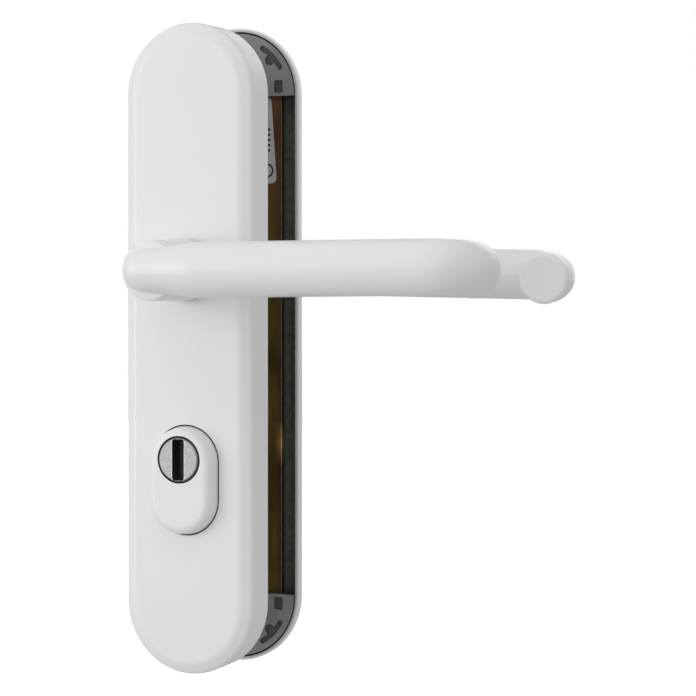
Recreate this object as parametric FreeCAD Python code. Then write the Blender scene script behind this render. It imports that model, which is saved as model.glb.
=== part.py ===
"""Long-plate lever handle set with a floating cylinder guard, and the profile cylinder it guards.

Frame, in millimetres: the origin is the centre of the lock's follower, on the spindle's axis at
the door's mid-plane. +X runs along the levers, +Z is up, and -Y points out of the door's outer
face. Each half is built with n, the distance from its own face of the door: the outer half has
y = -DOOR / 2 - n, and the inner half is mirrored to y = DOOR / 2 + n.
"""

import FreeCAD, Part
import math
import os

V = FreeCAD.Vector
X_AXIS = V(1, 0, 0)
Y_AXIS = V(0, 1, 0)
Z_AXIS = V(0, 0, 1)
ORIGIN = V(0, 0, 0)

# Driving dimensions
DOOR = 28.0                     # gap between the two plates: the door's thickness
PLATE_W = 54.0
PLATE_MID_Z = -30.0             # the plates' centre, below the spindle
OUTER_H = 250.0
OUTER_T = 16.0
INNER_H = 254.0
INNER_T = 10.0
CYL_Z = -72.0                   # the cylinder's axis: 72 mm below the spindle
CYL_OUT = 30.0                  # the cylinder's outer end, from the door's mid-plane
CYL_IN = 27.0                   # and its inner end
SCREW_Z = (58.0, -36.0, -118.0)  # the three through screws

# Outer half
COVER_WALL = 2.0
COVER_BEVEL = (4.4, 2.4)        # across the face, into the depth
BASE_T = 4.0                    # hardened base plate
BASE_GAP = 0.4                  # between the base plate and the cover's wall
POST_R = 5.0
POST_END = 8.0                  # y of the posts' free ends
COVER_SCREW_Z = (76.0, -136.0)
BOSS_R = 3.5

# Inner half
INNER_WALL = 1.5
INNER_ROUND = 8.3
STEEL_W = 36.2
STEEL_N = (3.5, 5.5)            # the fixing plate's two faces
STEEL_TOP = 115.0               # the fixing plate's half-height
STEEL_CORNER = 8.0
STEEL_ROUND = 0.4               # the rolled edge on its door side
BLOCK_GAP = 0.6                 # between the end blocks and the cover's wall
BLOCK_N = (0.3, 8.4)
BLOCK_EDGE = 99.4               # the blocks' straight edges, from the plate's centre
BLOCK_WALL = 1.4
POCKET = 0.6                    # depth of the slots and windows moulded in the blocks
ARC_SLOT = (21.6, 2.2, 30.0, 59.5)   # mid radius, width, first and last angle from +-X
ARC_BUMP = (19.8, 2.1, 44.0)    # distance out, radius, angle
WINDOW_X = (16.1, 19.9)
WINDOW_Z = (1.2, 6.2)           # from the block's straight edge
WINDOW_ROUND = 0.6
LABEL_SIZE = (8.6, 34.6)
LABEL_MID = (10.4, 51.8)
LABEL_TILT = -4.0
LABEL_CORNER = 2.0
LABEL_T = 0.2

# Levers
BAR_N = 29.7                    # the grip's axis, from the plate's face
NECK_R = (11.9, 11.2)           # at the plate, at the grip's axis
NECK_ROUND = 0.8
NOSE_X = -9.1                   # the grip's blunt end, from the neck's axis
NOSE_R = 8.1                    # the grip's radius over the neck's axis
SWELL_X = 22.0                  # where the grip reaches its full radius
GRIP_R = 10.28                  # its full radius
BAR_R = 10.0                    # its radius at the elbow
ELBOW_R = 10.6
LEG_X = 121.4                   # the return leg's axis
LEG_DROP = 3.9                  # degrees the return leg hangs below level
LEG_END = 11.4                  # the return leg's end, from the plate's face
LEG_END_R = 10.2
LEG_ROUND = 1.75
JOURNAL_R = 9.0
RING_R = 11.7
RING_T = 0.9
SQUARE = 8.0
SQUARE_HOLE = 8.2
OUTER_TILT = -0.72              # play of each lever on the square, degrees about +Y
INNER_TILT = 0.95
LEVER_TRAVEL = 40.0             # degrees about +Y, down from rest
CROSS_N = 6.0                   # cross pin and grub screw, from the plate's face
STOP_REACH = 17.0               # the stop pins and the arm's tab, from the spindle's axis
STOP_R = 1.5
ARM_W = 6.0
DRIVER_N = (5.7, 7.2)
FLAT_X = 8.0                    # the journal's two flats, which key the driver
SPRING_R = 11.6                 # the return spring's mean radius
SPRING_WIRE = 0.7               # and its wire's radius
SPRING_PITCH = 1.5
SPRING_TOP_N = 13.4
SPRING_ANCHOR = (9.35, -14.5)   # x, z of the pin that holds the spring's fixed leg

# Cylinder guard
GUARD_R = 13.6
GUARD_Z = (-73.2, -87.4)        # centres of its two round ends
GUARD_UP = 6.1                  # how far it stands out of the cover
GUARD_DRAFT = 0.9               # how much its sides lean in over that height
GUARD_ROUND = 3.0
GUARD_SLIT = 0.5
FLANGE_R = 20.0
FLANGE_N = (4.2, 8.0)
DISC_R = 8.5
DISC_HOLE_R = 9.05
DISC_UP = 0.5                   # how far the disc stands out of the guard
DISC_CHAMFER = 0.6
DISC_FLANGE_R = 10.0
KEY_SLOT = (5.1, 15.7)
SLOT_ROUND = 1.0
GUARD_SPRING = (17.1, -79.0)    # x, z of the right one; the left one mirrors it

# Profile cylinder: the standard 17 / 10 / 33 section
CYL_R = 8.5
WEB_W = 10.0
PROFILE_H = 33.0
PLUG_R = 6.5
CAM_R = 15.0
CAM_W = 9.6
CAM_GAP = 10.0
CAM_REST = 30.0                 # the cam's rest angle from straight down
PIN_R = 1.45
PIN_PITCH = 4.0
PIN_COUNT = 5
FIX_Z = CYL_Z - 20.0            # the fixing screw's axis

RUN = 0.05                      # radial clearance of a running fit


# Helpers

def box(x0, x1, y0, y1, z0, z1):
    return Part.makeBox(x1 - x0, y1 - y0, z1 - z0, V(x0, y0, z0))


def rod_y(r, y0, y1, x=0.0, z=0.0):
    return Part.makeCylinder(r, y1 - y0, V(x, y0, z), Y_AXIS)


def cut_all(shape, tools):
    return shape.cut(Part.Compound(tools))


def fuse_all(shapes):
    return shapes[0].multiFuse(shapes[1:]).removeSplitter()


def spin(shape, degrees, centre=ORIGIN):
    """Turn a shape about +Y."""
    turned = shape.copy()
    turned.rotate(centre, Y_AXIS, degrees)
    return turned


def outside(shape):
    """Move a shape built on y = -n to the outer face of the door."""
    return shape.translated(V(0, -DOOR / 2, 0))


def inside(shape):
    """Mirror a shape built on y = -n, and move it to the inner face of the door."""
    return shape.mirror(ORIGIN, Y_AXIS).translated(V(0, DOOR / 2, 0))


def stadium(r, z_top, z_bottom, n0, n1):
    """An upright oblong with round ends centred on z_top and z_bottom, from n0 to n1."""
    y = -n0
    right = Part.makeLine(V(r, y, z_bottom), V(r, y, z_top))
    top = Part.Arc(V(r, y, z_top), V(0, y, z_top + r), V(-r, y, z_top)).toShape()
    left = Part.makeLine(V(-r, y, z_top), V(-r, y, z_bottom))
    bottom = Part.Arc(V(-r, y, z_bottom), V(0, y, z_bottom - r), V(r, y, z_bottom)).toShape()
    face = Part.Face(Part.Wire([right, top, left, bottom]))
    return face.extrude(V(0, n0 - n1, 0))


def plate_body(width, height, n0, n1, shrink=0.0):
    """A long plate's outline, pulled in by shrink, from n0 to n1."""
    reach = (height - width) / 2
    return stadium(width / 2 - shrink, PLATE_MID_Z + reach, PLATE_MID_Z - reach, n0, n1)


def edges_at(shape, n):
    """Edges that lie in the plane at n."""
    return [e for e in shape.Edges
            if abs(e.BoundBox.YMin + n) < 1e-4 and abs(e.BoundBox.YMax + n) < 1e-4]


def is_along_y(edge):
    """True of a straight edge square to the door."""
    bounds = edge.BoundBox
    return max(bounds.XLength, bounds.ZLength) < 1e-3


def soft_bevel(shape, top, bevel, face_round, side_round):
    """Bevel the front edge of an oblong, and round the two edges that leaves."""
    across, deep = bevel
    shape = shape.makeChamfer(deep, across, edges_at(shape, top))
    on_top = edges_at(shape, top)
    reach = shape.BoundBox.ZMax
    if max(e.BoundBox.ZMax for e in on_top) > reach - across + 0.01:
        raise ValueError("the bevel's two widths are the wrong way round")
    shape = shape.makeFillet(face_round, on_top)
    return shape.makeFillet(side_round, edges_at(shape, top - deep))


def profile_face(grow, y):
    """The cylinder's keyhole section at y, larger by grow all round."""
    r = CYL_R + grow
    half = WEB_W / 2 + grow
    foot = CYL_Z + CYL_R - PROFILE_H + WEB_W / 2
    join = CYL_Z - math.sqrt(r * r - half * half)
    head = Part.Arc(V(half, y, join), V(0, y, CYL_Z + r), V(-half, y, join)).toShape()
    left = Part.makeLine(V(-half, y, join), V(-half, y, foot))
    base = Part.Arc(V(-half, y, foot), V(0, y, foot - half), V(half, y, foot)).toShape()
    right = Part.makeLine(V(half, y, foot), V(half, y, join))
    return Part.Face(Part.Wire([head, left, base, right]))


def profile_prism(grow, y0, y1):
    return profile_face(grow, y0).extrude(V(0, y1 - y0, 0))


def coil(radius, wire, pitch, turns, y0, x=0.0, z=0.0):
    """A helical spring about +Y, whose first turn starts at y0 + wire."""
    spine = Part.makeHelix(pitch, pitch * turns, radius)
    section = Part.Wire(Part.makeCircle(wire, V(radius, 0, 0), Y_AXIS))
    body = Part.Wire(spine).makePipeShell([section], True, True)
    body.rotate(ORIGIN, X_AXIS, -90)
    return body.translated(V(x, y0 + wire, z))


def c_clip(r_in, r_out, y0, y1, z, open_half_angle):
    """A retaining ring about +Y with its mouth pointing down."""
    ring = rod_y(r_out, y0, y1, z=z).cut(rod_y(r_in, y0, y1, z=z))
    mouth = r_out * math.sin(math.radians(open_half_angle))
    return ring.cut(box(-mouth, mouth, y0, y1, z - r_out - 1, z))


# Outer half, built on y = -n

def outer_cover():
    shell = soft_bevel(plate_body(PLATE_W, OUTER_H, 0, OUTER_T), OUTER_T, COVER_BEVEL, 4.5, 2.2)
    hollow = plate_body(PLATE_W, OUTER_H, -1, OUTER_T - COVER_WALL, COVER_WALL)
    hollow = hollow.makeChamfer(3.0, edges_at(hollow, OUTER_T - COVER_WALL))
    shell = shell.cut(hollow)
    bosses = [rod_y(BOSS_R, 0.5 - OUTER_T, -BASE_T, z=z) for z in COVER_SCREW_Z]
    threads = [rod_y(1.5, 4.0 - OUTER_T, 0, z=z) for z in COVER_SCREW_Z]
    window = stadium(GUARD_R + GUARD_SLIT, *GUARD_Z, 0, OUTER_T + 1)
    lever_hole = rod_y(JOURNAL_R + 0.4, -OUTER_T - 1, 0)
    return cut_all(fuse_all([shell] + bosses), threads + [window, lever_hole])


def outer_base_plate():
    plate = plate_body(PLATE_W, OUTER_H, 0, BASE_T, COVER_WALL + BASE_GAP)
    holes = [rod_y(POST_R, -BASE_T, 0, z=z) for z in SCREW_Z]
    holes += [rod_y(1.65, -BASE_T, 0, z=z) for z in COVER_SCREW_Z]
    holes += [Part.makeCone(3.2, 1.65, 1.6, V(0, 0, z), V(0, -1, 0)) for z in COVER_SCREW_Z]
    holes.append(rod_y(12.0, -BASE_T, 0))
    holes.append(profile_prism(0.3, -BASE_T, 0))
    stops = [rod_y(STOP_R, -12.0, -BASE_T, x=x, z=z) for x, z in stop_places()]
    anchor_x, anchor_z = SPRING_ANCHOR
    anchor = rod_y(STOP_R, -SPRING_TOP_N, -BASE_T, x=anchor_x, z=anchor_z)
    return fuse_all([cut_all(plate, holes)] + stops + [anchor])


def stop_places():
    """The two pins that stop the driver's arm at rest and at the end of its travel."""
    spread = math.degrees(math.asin((ARM_W / 2 + STOP_R + 0.15) / STOP_REACH))
    angles = [math.radians(a + OUTER_TILT) for a in (-spread, LEVER_TRAVEL + spread)]
    return [(STOP_REACH * math.sin(a), STOP_REACH * math.cos(a)) for a in angles]


def posts():
    """Three threaded posts riveted in the base plate, which pass through the door."""
    shapes = []
    for z in SCREW_Z:
        post = rod_y(POST_R, -BASE_T, DOOR / 2 + POST_END, z=z)
        head = rod_y(POST_R + 1.5, -BASE_T - 1.5, -BASE_T, z=z)
        thread = rod_y(3.0, 0, DOOR / 2 + POST_END, z=z)
        shapes.append(fuse_all([post, head]).cut(thread))
    return Part.Compound(shapes)


def cover_screws():
    shapes = []
    for z in COVER_SCREW_Z:
        head = Part.makeCone(3.1, 1.5, 1.5, V(0, -0.1, z), V(0, -1, 0))
        shank = rod_y(1.5, -11.5, -1.6, z=z)
        recess = box(-0.4, 0.4, -0.9, 0, z - 2.2, z + 2.2)
        shapes.append(fuse_all([head, shank]).cut(recess))
    return Part.Compound(shapes)


def lever_bush(flange_n, thick):
    """A flanged plastic bearing in a plate whose far face is at flange_n."""
    body = rod_y(12.0, -flange_n, -0.6)
    flange = rod_y(14.0, -flange_n - thick, -flange_n)
    bore = rod_y(JOURNAL_R + RUN, -flange_n - thick, 0)
    clip_room = rod_y(11.0, -3.0, 0)
    return cut_all(fuse_all([body, flange]), [bore, clip_room])


def lever_clip():
    return c_clip(8.32, 10.4, -2.35, -1.25, 0.0, 35.0)


def lever_driver():
    """A keyed plate on the outer lever's journal, with an arm that carries the spring."""
    n0, n1 = DRIVER_N
    half = ARM_W / 2
    hub = rod_y(13.0, -n1, -n0)
    arm = box(-half, half, -n1, -n0, 0, STOP_REACH + 2.0)
    tab = box(-half, half, -SPRING_TOP_N, -n0, STOP_REACH - 0.4, STOP_REACH + 2.0)
    bore = rod_y(JOURNAL_R + 0.02, -n1, -n0)
    flats = box(-FLAT_X - 0.02, FLAT_X + 0.02, -n1, -n0, -10, 10)
    return spin(fuse_all([hub, arm, tab]).cut(bore.common(flats)), OUTER_TILT)


def return_spring():
    """A torsion spring round the outer journal: one leg on the arm's tab, one on its anchor."""
    tab_corner = V(ARM_W / 2 + SPRING_WIRE + 0.15, 0, STOP_REACH + 0.8)
    reach = math.hypot(tab_corner.x, tab_corner.z)
    start = math.atan2(tab_corner.z, tab_corner.x) - math.acos(SPRING_R / reach)
    turns = 3 + start / (2 * math.pi)
    first_y = -SPRING_TOP_N + SPRING_WIRE
    last_y = first_y + SPRING_PITCH * turns
    body = spin(coil(SPRING_R, SPRING_WIRE, SPRING_PITCH, turns, -SPRING_TOP_N), -math.degrees(start))
    leave = V(SPRING_R * math.cos(start), first_y, SPRING_R * math.sin(start))
    moving_leg = Part.makeCylinder(SPRING_WIRE, math.sqrt(reach ** 2 - SPRING_R ** 2), leave,
                                   V(-math.sin(start), 0, math.cos(start)))
    fixed_leg = Part.makeCylinder(SPRING_WIRE, 17.0, V(SPRING_R, last_y, 0), V(0, 0, -1))
    return fuse_all([body, moving_leg, fixed_leg])


# Lever, built on y = -n from the door's face, with its plate's depth in plate_t

def grip_outline():
    """Half the grip's outline: a blunt nose, then a swell to the full round bar."""
    slope = 0.05
    reach = 6.0
    nose = Part.BezierCurve()
    nose.setPoles([V(NOSE_X, 0, 0), V(NOSE_X, 5.2, 0), V(-reach, NOSE_R - reach * slope, 0),
                   V(0, NOSE_R, 0)])
    swell = Part.BezierCurve()
    swell.setPoles([V(0, NOSE_R, 0), V(2 * reach, NOSE_R + 2 * reach * slope, 0),
                    V(SWELL_X - reach, GRIP_R, 0), V(SWELL_X, GRIP_R, 0)])
    return [nose.toShape(), swell.toShape()]


def return_leg(axis_y, end_y):
    """The elbow at the grip's end and the leg back towards the door, with a rounded rim at its tip."""
    bar_end = LEG_X - ELBOW_R
    section = Part.Face(Part.Wire(Part.makeCircle(BAR_R, V(bar_end, axis_y, 0), X_AXIS)))
    elbow = section.revolve(V(bar_end, axis_y + ELBOW_R, 0), Z_AXIS, 90)
    leg_top = axis_y + ELBOW_R
    leg = Part.makeCone(BAR_R, LEG_END_R, end_y - leg_top, V(LEG_X, leg_top, 0), Y_AXIS)
    rim = [e for e in leg.Edges if abs(e.BoundBox.YMin - end_y) < 1e-4]
    both = elbow.fuse(leg.makeFillet(LEG_ROUND, rim))
    both.rotate(V(0, axis_y, 0), X_AXIS, -LEG_DROP)
    return both


def lever(plate_t, flats):
    axis_y = -plate_t - BAR_N
    bar_end = LEG_X - ELBOW_R
    side = Part.makeLine(V(SWELL_X, GRIP_R, 0), V(bar_end, BAR_R, 0))
    end = Part.makeLine(V(bar_end, BAR_R, 0), V(bar_end, 0, 0))
    core = Part.makeLine(V(bar_end, 0, 0), V(NOSE_X, 0, 0))
    bar = Part.Face(Part.Wire(grip_outline() + [side, end, core])).revolve(ORIGIN, X_AXIS, 360)
    bar.translate(V(0, axis_y, 0))

    seat_y = -plate_t - RING_T - 0.1
    neck = Part.makeCone(NECK_R[0], NECK_R[1], seat_y - axis_y, V(0, seat_y, 0), V(0, -1, 0))
    crown = [e for e in neck.Edges if abs(e.BoundBox.YMax - axis_y) < 1e-4]
    neck = neck.makeFillet(NECK_ROUND, crown)
    journal = rod_y(JOURNAL_R, seat_y, -0.7)
    clip_groove = rod_y(12.0, -2.4, -1.2).cut(rod_y(8.3, -2.4, -1.2))
    leg = return_leg(axis_y, -plate_t - LEG_END)
    solid = fuse_all([bar, leg, neck, journal]).cut(clip_groove)

    half = SQUARE_HOLE / 2
    tools = [box(-half, half, -plate_t - 20.0, 0, -half, half)]
    if flats:
        n0, n1 = DRIVER_N[0] - 0.1, DRIVER_N[1] + 0.1
        sides = box(-20, 20, -n1, -n0, -20, 20).cut(box(-FLAT_X, FLAT_X, -8, -5, -20, 20))
        tools.append(sides.common(rod_y(12.0, -n1, -n0)))
    return cut_all(solid, tools)


def lever_ring(plate_t):
    """The glide ring between a lever and its plate, pressed on the lever's journal."""
    y0 = -plate_t - RING_T - 0.05
    ring = rod_y(RING_R, y0, -plate_t - 0.05)
    rim = [e for e in ring.Edges if abs(e.BoundBox.YMin - y0) < 1e-4 and e.BoundBox.YLength < 1e-4]
    ring = ring.makeFillet(0.35, rim)
    return ring.cut(rod_y(JOURNAL_R, y0, 0))


def outer_lever():
    hole = Part.makeCylinder(1.5, 40, V(0, -OUTER_T - CROSS_N, -20), Z_AXIS)
    return spin(lever(OUTER_T, True).cut(hole), OUTER_TILT)


def cross_pin():
    pin = Part.makeCylinder(1.5, 20.0, V(0, -OUTER_T - CROSS_N, -10.0), Z_AXIS)
    return spin(pin, OUTER_TILT)


def inner_lever():
    hole = Part.makeCylinder(2.5, 20, V(0, -INNER_T - CROSS_N, -20), Z_AXIS)
    return spin(lever(INNER_T, False).cut(hole), INNER_TILT)


def grub_screw():
    """Clamps the inner lever on the square; built for the inner half, seen from below."""
    y = -INNER_T - CROSS_N
    body = Part.makeCylinder(2.5, 6.0, V(0, y, -10.2), Z_AXIS)
    tip = [e for e in body.Edges if abs(e.BoundBox.ZMin + 4.2) < 1e-4]
    body = body.makeChamfer(0.6, tip)
    across = 2.5 / math.sqrt(3)
    corners = [V(across * math.cos(math.radians(60 * i)), y + across * math.sin(math.radians(60 * i)),
                 -10.2) for i in range(7)]
    socket = Part.Face(Part.makePolygon(corners)).extrude(V(0, 0, 2.6))
    return spin(body.cut(socket), INNER_TILT)


def spindle():
    """The 8 mm square bar through both levers and the lock's follower."""
    half = SQUARE / 2
    y0 = -DOOR / 2 - OUTER_T - 19.0
    y1 = DOOR / 2 + INNER_T + 19.0
    bar = box(-half, half, y0, y1, -half, half)
    bar = bar.makeChamfer(0.5, [e for e in bar.Edges if is_along_y(e)])
    hole = Part.makeCylinder(1.6, 20, V(0, -DOOR / 2 - OUTER_T - CROSS_N, -10), Z_AXIS)
    return bar.cut(hole)


# Guard, built on y = -n

def guard_cap():
    top = OUTER_T + GUARD_UP
    body = stadium(GUARD_R, *GUARD_Z, FLANGE_N[0], top)
    body = body.makeChamfer(GUARD_UP - 0.1, GUARD_DRAFT, edges_at(body, top))
    body = body.makeFillet(GUARD_ROUND, edges_at(body, top))
    flange = stadium(FLANGE_R, *GUARD_Z, *FLANGE_N)
    spring_x, spring_z = GUARD_SPRING
    seats = [rod_y(2.6, -FLANGE_N[1], -FLANGE_N[1] + 1.0, x=x, z=spring_z)
             for x in (-spring_x, spring_x)]
    pocket = profile_prism(0.3, -16.05, 0)
    disc_seat = rod_y(DISC_FLANGE_R + RUN, -18.9, -14.2, z=CYL_Z)
    ring_groove = rod_y(10.7, -16.0, -15.0, z=CYL_Z)
    hole = rod_y(DISC_HOLE_R, -top - 1, -18, z=CYL_Z)
    return cut_all(fuse_all([body, flange]), seats + [pocket, disc_seat, ring_groove, hole])


def guard_springs():
    y0 = -OUTER_T + COVER_WALL + 0.05
    length = OUTER_T - COVER_WALL - FLANGE_N[1] + 0.8
    spring_x, spring_z = GUARD_SPRING
    return [coil(1.85, 0.3, (length - 0.8) / 5, 5, y0, x, spring_z)
            for x in (-spring_x, spring_x)]


def guard_disc():
    """The turning steel disc that covers the cylinder's face, with a slot for the key."""
    front = -OUTER_T - GUARD_UP - DISC_UP
    nose = rod_y(DISC_R, front, -18, z=CYL_Z)
    rim = [e for e in nose.Edges if abs(e.BoundBox.YMax - front) < 1e-4]
    nose = nose.makeChamfer(DISC_CHAMFER, rim)
    flange = rod_y(DISC_FLANGE_R, -18.8, -16.15, z=CYL_Z)
    width, height = KEY_SLOT
    slot = box(-width / 2, width / 2, front - 1, 0, CYL_Z - height / 2, CYL_Z + height / 2)
    slot = slot.makeFillet(SLOT_ROUND, [e for e in slot.Edges if is_along_y(e)])
    return fuse_all([nose, flange]).cut(slot)


def guard_ring():
    return c_clip(9.0, 10.65, -15.95, -15.05, CYL_Z, 35.0)


# Inner half, built on y = -n and mirrored

def inner_cover():
    shell = plate_body(PLATE_W, INNER_H, 0, INNER_T)
    shell = shell.makeFillet(INNER_ROUND, edges_at(shell, INNER_T))
    hollow = plate_body(PLATE_W, INNER_H, -1, INNER_T - INNER_WALL, INNER_WALL)
    hollow = hollow.makeFillet(INNER_ROUND - INNER_WALL, edges_at(hollow, INNER_T - INNER_WALL))
    lever_hole = rod_y(JOURNAL_R + 0.4, -INNER_T - 1, 0)
    return cut_all(shell, [hollow, lever_hole, profile_prism(0.4, -INNER_T - 1, 0)])


def inner_steel_plate():
    half = STEEL_W / 2
    n0, n1 = STEEL_N
    plate = box(-half, half, -n1, -n0, PLATE_MID_Z - STEEL_TOP, PLATE_MID_Z + STEEL_TOP)
    plate = plate.makeFillet(STEEL_CORNER, [e for e in plate.Edges if is_along_y(e)])
    plate = plate.makeFillet(STEEL_ROUND, edges_at(plate, n0))
    holes = [rod_y(3.2, -n1, -n0, z=z) for z in SCREW_Z]
    holes.append(rod_y(12.0, -n1, -n0))
    holes.append(profile_prism(0.4, -n1, -n0))
    return cut_all(plate, holes)


def end_block(up):
    """A thin-walled block in one round end of the inner cover; up is 1 at the top, -1 below."""
    n0, n1 = BLOCK_N
    edge_z = PLATE_MID_Z + up * BLOCK_EDGE
    far_z = PLATE_MID_Z + up * INNER_H

    def slice_of(shape, start):
        z0, z1 = sorted((edge_z + up * start, far_z))
        return shape.common(box(-30, 30, -n1 - 1, 0, z0, z1))

    shrink = INNER_WALL + BLOCK_GAP
    body = plate_body(PLATE_W, INNER_H, n0, n1, shrink)
    body = slice_of(body.makeFillet(INNER_ROUND - INNER_WALL - BLOCK_GAP, edges_at(body, n1)), 0.0)
    hollow = plate_body(PLATE_W, INNER_H, n0 + BLOCK_WALL, n1 + 1, shrink + BLOCK_WALL)
    half = STEEL_W / 2 + 0.1
    steel_room = box(-half, half, -n1 - 1, -STEEL_N[0], *sorted((edge_z - up, edge_z + up * 16.2)))
    tools = [slice_of(hollow, BLOCK_WALL), steel_room]
    arc_z = PLATE_MID_Z + up * (INNER_H - PLATE_W) / 2
    for side in (-1, 1):
        tools += arc_slot(side, up, arc_z)
        window_x = sorted(side * x for x in WINDOW_X)
        window_z = sorted(edge_z + up * z for z in WINDOW_Z)
        window = box(*window_x, -n0 - POCKET, 0, *window_z)
        tools.append(window.makeFillet(WINDOW_ROUND, [e for e in window.Edges if is_along_y(e)]))
    for tool in tools:
        body = body.cut(tool)
    return body


def arc_slot(side, up, arc_z):
    """The tools that cut a curved pocket with round ends and a round bump on its inner side."""
    mid_r, width, first, last = ARC_SLOT
    deep = BLOCK_N[0] + POCKET

    def at(radius, degrees):
        turn = math.radians(degrees)
        return side * radius * math.cos(turn), arc_z + up * radius * math.sin(turn)

    def ring_point(radius, degrees):
        x, z = at(radius, degrees)
        return V(x, 0, z)

    half = width / 2
    middle = (first + last) / 2
    outer = Part.Arc(*(ring_point(mid_r + half, a) for a in (first, middle, last))).toShape()
    inner = Part.Arc(*(ring_point(mid_r - half, a) for a in (last, middle, first))).toShape()
    ends = [Part.makeLine(ring_point(mid_r + half, last), ring_point(mid_r - half, last)),
            Part.makeLine(ring_point(mid_r - half, first), ring_point(mid_r + half, first))]
    band = Part.Face(Part.Wire([outer, ends[0], inner, ends[1]])).extrude(V(0, -deep, 0))
    bump_out, bump_r, bump_at = ARC_BUMP
    rounds = [(half, at(mid_r, first)), (half, at(mid_r, last)), (bump_r, at(bump_out, bump_at))]
    return [band] + [rod_y(r, -deep, 0, x=x, z=z) for r, (x, z) in rounds]


def through_screws():
    """Three low-headed M6 screws from the inner fixing plate into the posts."""
    shapes = []
    for z in SCREW_Z:
        head_n = STEEL_N[1]
        head = rod_y(5.0, -head_n - 2.8, -head_n, z=z)
        shank = rod_y(3.0, -head_n, DOOR / 2 + 2.0, z=z)
        socket = Part.Face(Part.makePolygon([
            V(2.31 * math.cos(math.radians(60 * i)), -head_n - 2.8,
              z + 2.31 * math.sin(math.radians(60 * i))) for i in range(7)])).extrude(V(0, 1.8, 0))
        shapes.append(fuse_all([head, shank]).cut(socket))
    return Part.Compound(shapes)


def label():
    width, height = LABEL_SIZE
    x, z = LABEL_MID
    n0 = STEEL_N[0]
    sheet = box(x - width / 2, x + width / 2, -n0, -n0 + LABEL_T, z - height / 2, z + height / 2)
    sheet = sheet.makeFillet(LABEL_CORNER, [e for e in sheet.Edges if is_along_y(e)])
    return spin(sheet, LABEL_TILT, V(x, 0, z))


# Profile cylinder, built in the frame itself

def pin_places(sign):
    """The y of each pin, from the cam outwards; sign is -1 for the outer half."""
    start = CAM_GAP / 2 + 4.0
    return [sign * (start + PIN_PITCH * i) for i in range(PIN_COUNT)]


def cylinder_body():
    body = profile_prism(0.0, -CYL_OUT, CYL_IN)
    half = CAM_GAP / 2
    tools = [rod_y(PLUG_R + RUN, -CYL_OUT - 1, CYL_IN + 1, z=CYL_Z),
             rod_y(CAM_R + 0.7, -half, half, z=CYL_Z),
             Part.makeCylinder(2.1, 20, V(-10, 0, FIX_Z), X_AXIS)]
    for sign in (-1, 1):
        for y in pin_places(sign):
            tools.append(Part.makeCylinder(PIN_R + 0.03, 18.0, V(0, y, CYL_Z - 23.5), Z_AXIS))
    return cut_all(body, tools)


def plug(y0, y1, face, sign):
    """A turning plug with its keyway; face is the end that takes the key."""
    body = rod_y(PLUG_R, y0, y1, z=CYL_Z)
    keyway = [box(-1.1, 1.1, y0, y1, CYL_Z - 4.2, CYL_Z + 4.6),
              box(-1.1, 2.0, y0, y1, CYL_Z - 1.2, CYL_Z + 0.6)]
    bevel_y0, bevel_y1 = sorted((face, face - 0.6 * math.copysign(1, face)))
    lead = box(-1.9, 1.9, bevel_y0, bevel_y1, CYL_Z - 4.8, CYL_Z + 5.2)
    chambers = [Part.makeCylinder(PIN_R + 0.03, 7.0, V(0, y, CYL_Z - 7.0), Z_AXIS)
                for y in pin_places(sign)]
    clip_y = sorted((sign * (CAM_GAP / 2 + 0.35), sign * (CAM_GAP / 2 + 1.15)))
    groove = rod_y(7.0, *clip_y, z=CYL_Z).cut(rod_y(5.9, *clip_y, z=CYL_Z))
    return cut_all(body, keyway + [lead, groove] + chambers)


def key_pins(sign):
    shapes = []
    for i, y in enumerate(pin_places(sign)):
        tip_z = CYL_Z - 3.2 + 0.5 * ((2 * i) % 5) * 0.8
        pin = Part.makeCylinder(PIN_R, tip_z - (CYL_Z - PLUG_R + 0.15),
                                V(0, y, CYL_Z - PLUG_R + 0.15), Z_AXIS)
        crown = [e for e in pin.Edges if abs(e.BoundBox.ZMin - tip_z) < 1e-4]
        shapes.append(pin.makeChamfer(0.7, crown))
    return Part.Compound(shapes)


def driver_pins():
    top = CYL_Z - PLUG_R - 0.2
    return Part.Compound([Part.makeCylinder(PIN_R, 5.0, V(0, y, top - 5.0), Z_AXIS)
                          for sign in (-1, 1) for y in pin_places(sign)])


def chamber_plugs():
    """Brass slugs that close the pin chambers from below."""
    shapes = []
    for sign in (-1, 1):
        for y in pin_places(sign):
            slug = Part.makeCylinder(PIN_R + 0.03, 1.5, V(0, y, CYL_Z - 23.5), Z_AXIS)
            shapes.append(slug)
    return Part.Compound(shapes)


def pin_springs():
    wire = 0.22
    low = CYL_Z - 22.0
    length = (CYL_Z - PLUG_R - 5.2) - low
    turns = 6
    shapes = []
    for sign in (-1, 1):
        for y in pin_places(sign):
            spine = Part.makeHelix((length - 2.2 * wire) / turns, length - 2.2 * wire, 1.05)
            section = Part.Wire(Part.makeCircle(wire, V(1.05, 0, 0), Y_AXIS))
            body = Part.Wire(spine).makePipeShell([section], True, True)
            shapes.append(body.translated(V(0, y, low + 1.1 * wire)))
    return Part.Compound(shapes)


def cam():
    """The cam between the plugs, with its bit at the rest angle."""
    half = CAM_W / 2
    hub = rod_y(PLUG_R + 1.6, -half, half, z=CYL_Z)
    bit = box(-3.6, 3.6, -half, half, CYL_Z - CAM_R - 2, CYL_Z)
    bit = bit.common(rod_y(CAM_R, -half, half, z=CYL_Z))
    coupler = box(-1.2, 1.2, -half, half, CYL_Z - 4.0, CYL_Z + 4.0)
    return spin(fuse_all([hub, bit]).cut(coupler), CAM_REST, V(0, 0, CYL_Z))


def plug_clip(sign):
    y0, y1 = sorted((sign * (CAM_GAP / 2 + 0.4), sign * (CAM_GAP / 2 + 1.1)))
    return c_clip(5.92, 6.48, y0, y1, CYL_Z, 40.0)


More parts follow.
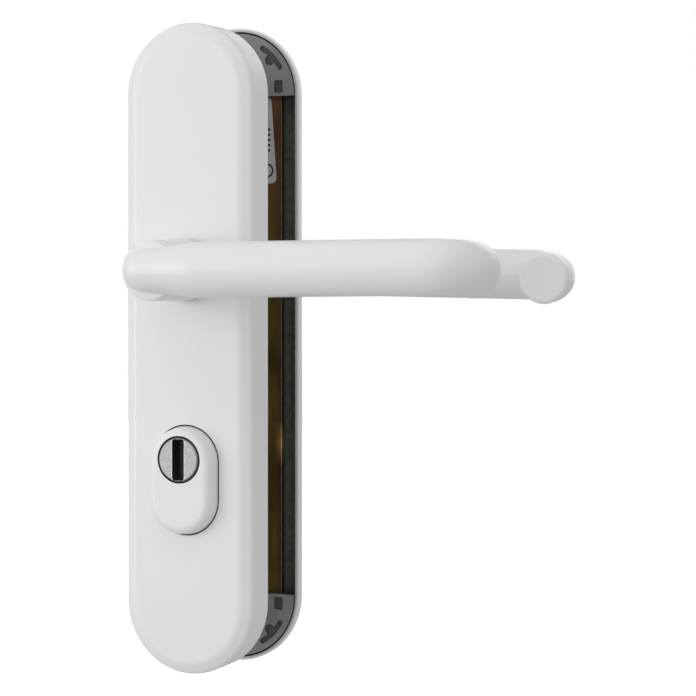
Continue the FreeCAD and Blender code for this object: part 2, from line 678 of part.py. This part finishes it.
def main():
    os.makedirs("parts", exist_ok=True)
    nodes = {
        "outer_cover": outside(outer_cover()),
        "outer_base_plate": outside(outer_base_plate()),
        "fixing_posts": outside(posts()),
        "cover_screws": outside(cover_screws()),
        "outer_bush": outside(lever_bush(BASE_T, 1.4)),
        "outer_lever": outside(outer_lever()),
        "outer_lever_ring": outside(lever_ring(OUTER_T)),
        "outer_lever_clip": outside(lever_clip()),
        "lever_driver": outside(lever_driver()),
        "return_spring": outside(return_spring()),
        "cross_pin": outside(cross_pin()),
        "guard_cap": outside(guard_cap()),
        "guard_disc": outside(guard_disc()),
        "guard_ring": outside(guard_ring()),
        "guard_springs": outside(Part.Compound(guard_springs())),
        "spindle": spindle(),
        "inner_cover": inside(inner_cover()),
        "inner_steel_plate": inside(inner_steel_plate()),
        "inner_block_top": inside(end_block(1)),
        "inner_block_bottom": inside(end_block(-1)),
        "inner_bush": inside(lever_bush(STEEL_N[1], 1.0)),
        "inner_lever": inside(inner_lever()),
        "inner_lever_ring": inside(lever_ring(INNER_T)),
        "inner_lever_clip": inside(lever_clip()),
        "lever_grub_screw": inside(grub_screw()),
        "through_screws": inside(through_screws()),
        "inner_label": inside(label()),
        "cylinder_body": cylinder_body(),
        "plug_outer": plug(-CYL_OUT, -CAM_GAP / 2, -CYL_OUT, -1),
        "plug_inner": plug(CAM_GAP / 2, CYL_IN, CYL_IN, 1),
        "key_pins_outer": key_pins(-1),
        "key_pins_inner": key_pins(1),
        "driver_pins": driver_pins(),
        "pin_springs": pin_springs(),
        "chamber_plugs": chamber_plugs(),
        "cylinder_cam": cam(),
        "plug_clip_outer": plug_clip(-1),
        "plug_clip_inner": plug_clip(1),
    }
    for name, shape in nodes.items():
        solids = len(shape.Solids)
        print(f"{name:20s} solids {solids:2d} valid {shape.isValid()} volume {shape.Volume:10.1f}")
        shape.exportStep(f"parts/{name}.step")


main()
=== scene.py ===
import math

import bpy
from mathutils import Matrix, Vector


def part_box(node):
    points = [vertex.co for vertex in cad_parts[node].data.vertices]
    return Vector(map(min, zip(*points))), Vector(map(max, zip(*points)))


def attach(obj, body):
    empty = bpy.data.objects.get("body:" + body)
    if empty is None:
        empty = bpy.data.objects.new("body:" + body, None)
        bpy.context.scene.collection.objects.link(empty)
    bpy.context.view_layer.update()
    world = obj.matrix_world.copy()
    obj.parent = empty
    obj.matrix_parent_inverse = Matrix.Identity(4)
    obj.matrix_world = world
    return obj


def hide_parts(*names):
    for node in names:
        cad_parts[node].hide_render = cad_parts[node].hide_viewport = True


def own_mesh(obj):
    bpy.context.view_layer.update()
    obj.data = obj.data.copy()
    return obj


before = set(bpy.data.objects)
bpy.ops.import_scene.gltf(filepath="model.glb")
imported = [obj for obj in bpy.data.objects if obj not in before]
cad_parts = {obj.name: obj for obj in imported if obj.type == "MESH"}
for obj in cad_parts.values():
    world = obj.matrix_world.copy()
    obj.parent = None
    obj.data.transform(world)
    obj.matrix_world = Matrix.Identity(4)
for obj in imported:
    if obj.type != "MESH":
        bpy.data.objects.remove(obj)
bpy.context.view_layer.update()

# Looks of a white long-plate door lever set with a cylinder guard. Metres, in the frame's axes:
# +X along the levers, +Y from the door's outer face to its inner face, +Z up.

MM = 0.001

# The photographer's standpoint, as solved for from the set's own outlines
CAMERA_AT = (0.3669, -0.7222, 0.0035)
CAMERA_TURN = 23.39             # degrees to the left of straight ahead
LENS = 105.6                    # millimetres, on a 36 mm sensor
SHIFT_Y = -0.125


def middle(node):
    """The middle of a CAD node's box."""
    low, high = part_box(node)
    return (low + high) / 2


def half_width(node):
    low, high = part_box(node)
    return (high.x - low.x) / 2


def half_run(node):
    """Half the straight part of a long round-ended node."""
    low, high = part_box(node)
    return (high.z - low.z) / 2 - half_width(node)


def outdoor_face(node):
    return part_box(node)[0].y


def indoor_face(node):
    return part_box(node)[1].y


# Places on the set that its looks depend on, in metres. A mask's limit lies a little off the face or
# the wall that it follows.
CYL_Z = middle("guard_disc").z  # the cylinder's axis
CYL_FACE = outdoor_face("cylinder_body") + 1.0 * MM
COVER_FACE = outdoor_face("outer_cover") + 0.07 * MM
GUARD_FACE = outdoor_face("guard_cap") + 0.1 * MM
GUARD_MID = middle("guard_cap").z
GUARD_RUN = half_run("guard_cap")
GUARD_HOLE_R = 14.2 * MM        # round ends of the cover's hole for the guard
DISC_HOLE_R = 9.15 * MM
DISC_R = 8.5 * MM
# width of the painted shade round the disc's rim
DISC_RIM = 0.7 * MM
DISC_FACE = outdoor_face("guard_disc")
SLOT_HALF_W = 2.58 * MM
SLOT_HALF_H = 7.9 * MM
SLOT_LIP = 0.25 * MM            # how far the painted highlight along the slot's edge reaches
PLATE_MID = middle("inner_cover").z
CAVITY_RUN = half_run("inner_cover")
CAVITY_R = half_width("inner_cover") - 1.4 * MM
CAVITY_FLOOR = indoor_face("inner_cover") - 1.4 * MM
RIM_FACE = outdoor_face("inner_cover") + 0.6 * MM
LIP_R = half_width("inner_cover") - 0.7 * MM  # the rim's face toward the door is drawn grey from the hollow out to here
POCKET_FLOOR = outdoor_face("inner_block_top") + 0.4 * MM
LIT_PRIMER_UP = (-20 * MM, 20 * MM)  # painted light: between these heights the primer turns lighter and greener
LIT_PRIMER_OUT = (19 * MM, 25 * MM)  # and between these, out to the hollow's +X wall
STEEL_HALF = half_width("inner_steel_plate")
STEEL_EDGE = (STEEL_HALF - 3.2 * MM, STEEL_HALF - 0.6 * MM)  # where the steel plate turns brown
RED_UP = (0.0, 45 * MM)         # between these heights it turns from olive to red
FLARE_Z = CYL_Z + 2.5 * MM      # where an orange highlight is painted on its edge beside the cylinder
FLARE_HALF = 9.0 * MM

# Plain marks on the label, in place of its print
LABEL_X, LABEL_Z = middle("inner_label").xz
MARK_AT = (LABEL_X + 1.2 * MM, LABEL_Z - 12 * MM)
MARK_R = 2.5 * MM
MARK_LINE = 0.38 * MM
BARS_Z = (LABEL_Z - 4.4 * MM, LABEL_Z + 5 * MM)
BARS_STEP = 2.1 * MM
BARS_SHARE = 0.45               # how much of each step is a bar
BARS_X = LABEL_X + 1.7 * MM
BARS_HALF = 0.95 * MM

PAINTED_GAP_SHADE = (0.025, 0.025, 0.025)    # painted shade: black in the slit round the guard, on the guard's foot and in its hole round the disc


# Node helpers

class Shader:
    """A Principled material with short ways to add the nodes that drive it."""

    def __init__(self, name, **sockets):
        self.material = bpy.data.materials.new(name)
        self.material.use_nodes = True
        self.tree = self.material.node_tree
        self.bsdf = self.tree.nodes["Principled BSDF"]
        self.place = self.node("ShaderNodeTexCoord").outputs["Object"]
        for socket, value in sockets.items():
            self.bsdf.inputs[socket.replace("_", " ")].default_value = value

    def node(self, kind, **settings):
        made = self.tree.nodes.new(kind)
        for key, value in settings.items():
            setattr(made, key, value)
        return made

    def link(self, source, target):
        self.tree.links.new(source, target)

    def feed(self, socket, value):
        """Link an output to a socket, or set the socket to a plain value."""
        if isinstance(value, bpy.types.NodeSocket):
            self.link(value, socket)
        else:
            socket.default_value = value

    def noise(self, scale, detail=2.0, rough=0.5, stretch=None):
        made = self.node("ShaderNodeTexNoise")
        made.inputs["Scale"].default_value = scale
        made.inputs["Detail"].default_value = detail
        made.inputs["Roughness"].default_value = rough
        place = self.place
        if stretch:
            mapping = self.node("ShaderNodeMapping")
            mapping.inputs["Scale"].default_value = stretch
            self.link(place, mapping.inputs["Vector"])
            place = mapping.outputs["Vector"]
        self.link(place, made.inputs["Vector"])
        return made.outputs["Fac"]

    def ramp(self, value, stops):
        """A colour ramp; stops are (place, colour)."""
        made = self.node("ShaderNodeValToRGB")
        made.color_ramp.elements.remove(made.color_ramp.elements[1])
        for i, (at, colour) in enumerate(stops):
            stop = made.color_ramp.elements[0] if i == 0 else made.color_ramp.elements.new(at)
            stop.position = at
            stop.color = (*colour, 1.0)
        self.link(value, made.inputs["Fac"])
        return made.outputs["Color"]

    def spread(self, value, low, high, from_low=0.3, from_high=0.7):
        """Map a value to the range low to high; the source range that is preset suits a noise."""
        made = self.node("ShaderNodeMapRange")
        made.inputs["From Min"].default_value = from_low
        made.inputs["From Max"].default_value = from_high
        made.inputs["To Min"].default_value = low
        made.inputs["To Max"].default_value = high
        self.link(value, made.inputs["Value"])
        return made.outputs["Result"]

    def math(self, operation, a, b=0.0):
        made = self.node("ShaderNodeMath", operation=operation)
        self.feed(made.inputs[0], a)
        self.feed(made.inputs[1], b)
        return made.outputs["Value"]

    def less(self, a, b):
        return self.math("LESS_THAN", a, b)

    def more(self, a, b):
        return self.math("GREATER_THAN", a, b)

    def times(self, a, b):
        return self.math("MULTIPLY", a, b)

    def minus(self, a, b):
        return self.math("SUBTRACT", a, b)

    def apart(self, a, b):
        """The distance between two values."""
        return self.math("ABSOLUTE", self.minus(a, b))

    def axes(self):
        made = self.node("ShaderNodeSeparateXYZ")
        self.link(self.place, made.inputs["Vector"])
        return made.outputs["X"], made.outputs["Y"], made.outputs["Z"]

    def mix(self, factor, a, b):
        made = self.node("ShaderNodeMix", data_type="RGBA")
        self.feed(made.inputs[0], factor)
        for socket, value in ((made.inputs[6], a), (made.inputs[7], b)):
            self.feed(socket, value if isinstance(value, bpy.types.NodeSocket) else (*value, 1.0))
        return made.outputs[2]

    def mix_value(self, factor, a, b):
        made = self.node("ShaderNodeMix", data_type="FLOAT")
        self.feed(made.inputs[0], factor)
        self.feed(made.inputs[2], a)
        self.feed(made.inputs[3], b)
        return made.outputs[0]

    def bump(self, height, distance, strength=1.0):
        made = self.node("ShaderNodeBump")
        made.inputs["Distance"].default_value = distance
        made.inputs["Strength"].default_value = strength
        self.link(height, made.inputs["Height"])
        self.link(made.outputs["Normal"], self.bsdf.inputs["Normal"])

    def colour(self, value):
        self.link(value, self.bsdf.inputs["Base Color"])

    def roughness(self, value):
        self.link(value, self.bsdf.inputs["Roughness"])

    def facing_indoors(self):
        """1 where the surface faces +Y, the indoor side, and else 0."""
        made = self.node("ShaderNodeSeparateXYZ")
        self.link(self.node("ShaderNodeTexCoord").outputs["Normal"], made.inputs["Vector"])
        return self.more(made.outputs["Y"], 0.03)

    def reach(self, x, z, at_x, at_z):
        """Distance from a line along Y through at_x and at_z."""
        dx = self.minus(x, at_x)
        dz = self.minus(z, at_z)
        return self.math("SQRT", self.math("ADD", self.times(dx, dx), self.times(dz, dz)))

    def from_spine(self, x, z, middle, run):
        """Distance from a vertical spine of half length run, as in a long round-ended outline."""
        past = self.math("MAXIMUM", self.minus(self.apart(z, middle), run), 0.0)
        return self.reach(x, past, 0.0, 0.0)


# Materials

def coat(shader):
    """Colour, roughness and orange peel of a sprayed white coat; returns its colour and roughness."""
    drift = shader.noise(18.0, 2.0)
    colour = shader.ramp(drift, [(0.3, (0.785, 0.785, 0.783)), (0.7, (0.805, 0.805, 0.805))])
    rough = shader.spread(shader.noise(260.0, 3.0), 0.3, 0.36)
    shader.bump(shader.noise(160.0, 1.0), 0.000006, 0.2)
    return colour, rough


def white_coat(name, gap_shade=None):
    """A sprayed white coat, with painted shade in black where the given mask (shader, x, y, z) says."""
    shader = Shader(name, IOR=1.5)
    colour, rough = coat(shader)
    if gap_shade:
        colour = shader.mix(gap_shade(shader, *shader.axes()), colour, PAINTED_GAP_SHADE)
    shader.colour(colour)
    shader.roughness(rough)
    return shader.material


def slit_wall(shader, x, y, z):
    """The outer cover's wall in the slit round the guard, where black is painted as shade."""
    near = shader.less(shader.from_spine(x, z, GUARD_MID, GUARD_RUN), GUARD_HOLE_R)
    return shader.times(near, shader.more(y, COVER_FACE))


def guard_foot_and_wall(shader, x, y, z):
    """The guard's foot below the cover's face, and its wall round the disc, where black is painted as
    shade.
    """
    foot = shader.more(y, COVER_FACE)
    near = shader.less(shader.reach(x, z, 0.0, CYL_Z), DISC_HOLE_R)
    wall = shader.times(near, shader.more(y, GUARD_FACE))
    return shader.math("MAXIMUM", foot, wall)


def inner_cover_coat(name):
    """White outside; inside the shell the bare primer is dark green-grey and mottled, with painted light
    that makes it lighter and greener towards the top and the +X wall.
    """
    shader = Shader(name, IOR=1.5)
    colour, rough = coat(shader)
    x, y, z = shader.axes()
    off_axis = shader.from_spine(x, z, PLATE_MID, CAVITY_RUN)
    inside = shader.times(shader.less(off_axis, CAVITY_R), shader.less(y, CAVITY_FLOOR))
    inside = shader.times(inside, shader.minus(1.0, shader.facing_indoors()))
    mottle = shader.noise(420.0, 5.0, 0.7)
    primer = shader.ramp(mottle, [
        (0.3, (0.095, 0.105, 0.092)), (0.5, (0.130, 0.145, 0.125)), (0.7, (0.170, 0.190, 0.165))])
    lit_primer = shader.ramp(mottle, [
        (0.3, (0.150, 0.180, 0.145)), (0.5, (0.210, 0.245, 0.200)), (0.7, (0.270, 0.310, 0.260))])
    # painted light: the primer lighter and greener towards the top and the +X wall
    up = shader.spread(z, 0.0, 1.0, *LIT_PRIMER_UP)
    side = shader.spread(x, 0.0, 1.0, *LIT_PRIMER_OUT)
    primer = shader.mix(shader.times(up, side), primer, lit_primer)
    lip = shader.times(shader.less(off_axis, LIP_R), shader.less(y, RIM_FACE))
    colour = shader.mix(lip, colour, (0.46, 0.465, 0.445))
    shader.colour(shader.mix(inside, colour, primer))
    shader.roughness(shader.mix_value(inside, rough, 0.6))
    return shader.material


def metal(name, low, high, rough=(0.3, 0.42), grain=900.0, stretch=None, shade_mask=None):
    """Plated or bare metal with an uneven tone; stretch draws its grain out along an axis, and it is
    painted dark, as shade, where the given mask (shader, x, y, z) says."""
    shader = Shader(name, Metallic=1.0)
    colour = shader.ramp(shader.noise(60.0, 4.0), [(0.3, low), (0.7, high)])
    if shade_mask:
        colour = shader.mix(shade_mask(shader, *shader.axes()), colour, (0.18, 0.18, 0.18))
    shader.colour(colour)
    fine = shader.noise(grain, 3.0, 0.6, stretch)
    shader.roughness(shader.spread(fine, *rough))
    shader.bump(fine, 0.00001, 0.5)
    return shader.material


def outer_end(shader, x, y, z):
    """The cylinder's outer end, behind the guard, painted dark as shade."""
    return shader.less(y, CYL_FACE)


def plastic(name, low, high, rough):
    """Moulded plastic with a fine texture."""
    shader = Shader(name, IOR=1.46)
    shader.colour(shader.ramp(shader.noise(90.0, 4.0), [(0.3, low), (0.7, high)]))
    fine = shader.noise(2200.0, 2.0, 0.6)
    shader.roughness(shader.spread(fine, *rough))
    shader.bump(fine, 0.00002, 0.6)
    return shader.material


def chromated_steel(name):
    """Yellow chromate over zinc: olive below, reddish brown above, and redder along its long edges, with
    a painted orange highlight on one edge beside the cylinder.
    """
    shader = Shader(name, Metallic=1.0)
    cloud = shader.noise(26.0, 4.0, 0.6, (1.0, 1.0, 0.35))
    olive = shader.ramp(cloud, [
        (0.30, (0.135, 0.125, 0.026)), (0.50, (0.190, 0.150, 0.040)), (0.70, (0.260, 0.170, 0.052))])
    red = shader.ramp(cloud, [
        (0.30, (0.215, 0.105, 0.040)), (0.50, (0.270, 0.125, 0.055)), (0.70, (0.330, 0.175, 0.080))])
    x, y, z = shader.axes()
    chromate = shader.mix(shader.spread(z, 0.0, 0.85, *RED_UP), olive, red)
    edge = shader.spread(shader.math("ABSOLUTE", x), 0.0, 1.0, *STEEL_EDGE)
    browned = shader.mix(edge, chromate, (0.20, 0.125, 0.072))
    # painted highlight: a soft orange glint on the edge beside the cylinder
    painted_highlight = shader.times(edge, shader.spread(shader.apart(z, FLARE_Z), 1.0, 0.0, 0.0, FLARE_HALF))
    shader.colour(shader.mix(painted_highlight, browned, (0.95, 0.60, 0.26)))
    grain = shader.noise(700.0, 3.0, 0.6, (1.0, 1.0, 0.06))
    shader.roughness(shader.spread(grain, 0.34, 0.5))
    shader.bump(grain, 0.00001, 0.5)
    return shader.material


def satin_disc(name):
    """Fine-grained satin steel with painted shade on its rim; a painted highlight along the key slot's
    edges, and painted shade on its walls.
    """
    shader = Shader(name, Metallic=1.0)
    grain = shader.noise(1700.0, 3.0, 0.75)
    face = shader.ramp(grain, [
        (0.3, (0.30, 0.30, 0.30)), (0.5, (0.44, 0.44, 0.44)), (0.7, (0.58, 0.58, 0.58))])
    x, y, z = shader.axes()
    # painted shade round the disc's rim
    shaded_rim = shader.spread(shader.reach(x, z, 0.0, CYL_Z), 0.0, 1.0, DISC_R - DISC_RIM, DISC_R)
    face = shader.mix(shaded_rim, face, (0.08, 0.08, 0.08))
    # painted highlight along the key slot's edges
    beside = shader.less(shader.math("ABSOLUTE", x), SLOT_HALF_W + SLOT_LIP)
    painted_highlight = shader.times(beside, shader.less(shader.apart(z, CYL_Z), SLOT_HALF_H))
    face = shader.mix(painted_highlight, face, (0.66, 0.66, 0.66))
    # painted shade on the key slot's walls
    shaded_slot_walls = shader.times(painted_highlight, shader.more(y, DISC_FACE + SLOT_LIP))
    shader.colour(shader.mix(shaded_slot_walls, face, (0.12, 0.12, 0.12)))
    shader.roughness(shader.spread(grain, 0.46, 0.6))
    shader.bump(grain, 0.00004, 0.7)
    return shader.material


def block_plastic(name):
    """Grey moulded plastic, darker on the floors of its pockets."""
    shader = Shader(name, IOR=1.46)
    face = shader.ramp(shader.noise(90.0, 4.0), [
        (0.3, (0.215, 0.205, 0.198)), (0.7, (0.265, 0.250, 0.240))])
    fine = shader.noise(1800.0, 2.0, 0.6)
    floor = shader.ramp(fine, [(0.3, (0.050, 0.048, 0.047)), (0.7, (0.095, 0.091, 0.089))])
    x, y, z = shader.axes()
    shader.colour(shader.mix(shader.more(y, POCKET_FLOOR), face, floor))
    shader.roughness(shader.spread(fine, 0.5, 0.62))
    shader.bump(fine, 0.00004, 0.6)
    return shader.material


def label_film(name):
    """Printed film, drawn grey as shade, with a column of plain bars, and one plain ring near its lower
    end.
    """
    shader = Shader(name, IOR=1.45)
    # painted shade: the white film is drawn grey, as it lies in shade between the plates
    film = shader.ramp(shader.noise(70.0, 3.0), [(0.3, (0.47, 0.48, 0.47)), (0.7, (0.53, 0.54, 0.52))])
    x, y, z = shader.axes()
    ring = shader.less(shader.apart(shader.reach(x, z, *MARK_AT), MARK_R), MARK_LINE)
    low, high = BARS_Z
    step = shader.math("FRACT", shader.math("DIVIDE", shader.minus(z, low), BARS_STEP))
    column = shader.less(shader.apart(x, BARS_X), BARS_HALF)
    span = shader.times(shader.more(z, low), shader.less(z, high))
    bars = shader.times(shader.times(column, span), shader.less(step, BARS_SHARE))
    shader.colour(shader.mix(shader.math("MAXIMUM", ring, bars), film, (0.02, 0.02, 0.022)))
    shader.roughness(shader.spread(shader.noise(900.0), 0.4, 0.5))
    return shader.material


black_plastic = plastic("black_acetal", (0.012, 0.012, 0.013), (0.022, 0.022, 0.023), (0.35, 0.45))
# painted shade: the glide rings are grey so that they read as the shaded crease at each lever's foot
crease_shade_plastic = plastic("grey_glide_ring_crease_shade", (0.22, 0.22, 0.22), (0.27, 0.27, 0.27), (0.4, 0.5))
hardened_steel = metal("hardened_steel", (0.30, 0.30, 0.29), (0.38, 0.38, 0.36), (0.38, 0.5), 500.0)
zinc_steel = metal("zinc_plated_steel", (0.52, 0.53, 0.54), (0.62, 0.63, 0.63), (0.28, 0.4))
dark_steel = metal("blackened_steel", (0.035, 0.035, 0.036), (0.06, 0.06, 0.06), (0.4, 0.55))
spring_steel = metal("drawn_spring_wire", (0.36, 0.36, 0.37), (0.46, 0.46, 0.47), (0.25, 0.4))
# painted shade: the outer plug, seen only through the key slot, is given a dark nickel
shade_dark_nickel = metal("shade_darkened_nickel", (0.16, 0.16, 0.16), (0.22, 0.22, 0.22), (0.5, 0.65))
brass = metal("turned_brass", (0.60, 0.43, 0.17), (0.70, 0.52, 0.23),
              rough=(0.25, 0.36), grain=1400.0, stretch=(1.0, 0.1, 1.0))
drawn_nickel = {"low": (0.58, 0.55, 0.50), "high": (0.66, 0.63, 0.57),
                "grain": 1200.0, "stretch": (1.0, 0.08, 1.0)}

MATERIALS = {
    white_coat("white_cover_coat", slit_wall): ("outer_cover",),
    white_coat("white_guard_coat", guard_foot_and_wall): ("guard_cap",),
    white_coat("white_lever_coat"): ("outer_lever", "inner_lever"),
    inner_cover_coat("white_inner_cover_coat"): ("inner_cover",),
    crease_shade_plastic: ("outer_lever_ring", "inner_lever_ring"),
    black_plastic: ("outer_bush", "inner_bush"),
    block_plastic("grey_moulding"): ("inner_block_top", "inner_block_bottom"),
    chromated_steel("yellow_chromated_steel"): ("inner_steel_plate",),
    label_film("label_film"): ("inner_label",),
    satin_disc("satin_sintered_steel"): ("guard_disc",),
    hardened_steel: ("outer_base_plate", "lever_driver"),
    zinc_steel: ("fixing_posts", "through_screws", "cover_screws", "spindle", "outer_lever_clip",
                 "inner_lever_clip", "guard_ring"),
    dark_steel: ("lever_grub_screw", "cross_pin"),
    spring_steel: ("return_spring", "guard_springs", "pin_springs", "plug_clip_outer", "plug_clip_inner"),
    # painted shade: the cylinder's outer end behind the guard is painted dark
    metal("nickel_painted_dark_as_shade", shade_mask=outer_end, **drawn_nickel): ("cylinder_body",),
    metal("satin_nickel", **drawn_nickel): ("plug_inner", "cylinder_cam"),
    shade_dark_nickel: ("plug_outer",),
    brass: ("key_pins_outer", "key_pins_inner", "driver_pins", "chamber_plugs"),
}


def dress(node, material):
    """Put one material in every slot of a CAD node."""
    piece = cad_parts[node]
    if not piece.material_slots:
        piece.data.materials.append(material)
    for slot in piece.material_slots:
        slot.material = material


for look, node_names in MATERIALS.items():
    for node_name in node_names:
        dress(node_name, look)

undressed = set(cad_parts) - {name for names in MATERIALS.values() for name in names}
assert not undressed, undressed


def add_guard_springs():
    """The two springs over the guard's flange, copied into a piece of their own that rides with the
    plates.
    """
    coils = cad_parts["guard_springs"]
    springs = coils.copy()
    springs.data = coils.data.copy()
    springs.name = "guard_spring_pair"
    place = coils.matrix_world.copy()
    springs.parent = None
    springs.matrix_world = place
    bpy.context.collection.objects.link(springs)
    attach(springs, "plates")
    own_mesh(springs)
    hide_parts("guard_springs")


add_guard_springs()


# Stage, light and camera

FLOOR_Z = -0.6
FLOOR_HALF = 6.0
WORLD_LEVEL = 0.61              # mean brightness of the studio's walls
WORLD_SLOPE = (0.0, -0.285, 0.21)  # brighter in front and above
LIGHT_TARGET = (0.0, 0.0, -0.03)

# Softboxes: degrees right of straight in front, degrees up, distance, width, height, radiance
SOFTBOXES = {
    "key_left": (-45.0, 5.0, 1.2, 0.75, 0.75, 2.4),
    "rear": (180.0, 15.0, 1.3, 0.8, 0.8, 1.2),
}


def set_world():
    """A white backdrop for the camera; for the light, studio walls that brighten in front and above."""
    world = bpy.data.worlds.new("studio")
    bpy.context.scene.world = world
    world.use_nodes = True
    tree = world.node_tree
    back = tree.nodes["Background"]
    place = tree.nodes.new("ShaderNodeTexCoord")
    dot = tree.nodes.new("ShaderNodeVectorMath")
    dot.operation = "DOT_PRODUCT"
    dot.inputs[1].default_value = WORLD_SLOPE
    tree.links.new(place.outputs["Generated"], dot.inputs[0])
    level = tree.nodes.new("ShaderNodeMath")
    level.operation = "ADD"
    level.inputs[1].default_value = WORLD_LEVEL
    tree.links.new(dot.outputs["Value"], level.inputs[0])
    seen = tree.nodes.new("ShaderNodeLightPath")
    mix = tree.nodes.new("ShaderNodeMix")
    mix.data_type = "RGBA"
    tree.links.new(seen.outputs["Is Camera Ray"], mix.inputs[0])
    tree.links.new(level.outputs["Value"], mix.inputs[6])
    mix.inputs[7].default_value = (1.0, 1.0, 1.0, 1.0)
    tree.links.new(mix.outputs[2], back.inputs["Color"])
    back.inputs["Strength"].default_value = 1.0


def add_softboxes():
    """Soft lamps round the set, all aimed at its middle and out of the camera's sight."""
    middle = Vector(LIGHT_TARGET)
    for name, (right, up, distance, width, height, radiance) in SOFTBOXES.items():
        turn, rise = math.radians(right), math.radians(up)
        level = math.cos(rise)
        away = Vector((math.sin(turn) * level, -math.cos(turn) * level, math.sin(rise)))
        data = bpy.data.lights.new(name, "AREA")
        data.shape = "RECTANGLE"
        data.size = width
        data.size_y = height
        data.energy = radiance * math.pi * width * height
        lamp = bpy.data.objects.new(name, data)
        lamp.location = middle + away * distance
        lamp.rotation_euler = away.to_track_quat("Z", "Y").to_euler()
        lamp.visible_camera = False
        bpy.context.collection.objects.link(lamp)


def add_floor():
    """A plain pale floor well below the set, bright enough to read as the same white as the backdrop."""
    mesh = bpy.data.meshes.new("floor")
    h = FLOOR_HALF
    corners = [(-h, -h, FLOOR_Z), (h, -h, FLOOR_Z), (h, h, FLOOR_Z), (-h, h, FLOOR_Z)]
    mesh.from_pydata(corners, [], [(0, 1, 2, 3)])
    floor = bpy.data.objects.new("floor", mesh)
    bpy.context.collection.objects.link(floor)
    shader = Shader("pale_floor")
    shader.colour(shader.ramp(shader.noise(3.0), [(0.3, (0.59, 0.59, 0.59)), (0.7, (0.61, 0.61, 0.61))]))
    shader.bsdf.inputs["Roughness"].default_value = 0.9
    shader.bsdf.inputs["Emission Color"].default_value = (1.0, 1.0, 1.0, 1.0)
    seen = shader.node("ShaderNodeLightPath")
    shader.link(seen.outputs["Is Camera Ray"], shader.bsdf.inputs["Emission Strength"])
    mesh.materials.append(shader.material)


def set_camera():
    data = bpy.data.cameras.new("camera")
    data.lens = LENS
    data.shift_y = SHIFT_Y
    camera = bpy.data.objects.new("camera", data)
    camera.location = CAMERA_AT
    camera.rotation_euler = (math.radians(90), 0.0, math.radians(CAMERA_TURN))
    bpy.context.collection.objects.link(camera)
    bpy.context.scene.camera = camera


set_world()
add_softboxes()
add_floor()
set_camera()
bpy.context.scene.view_settings.view_transform = "Standard"
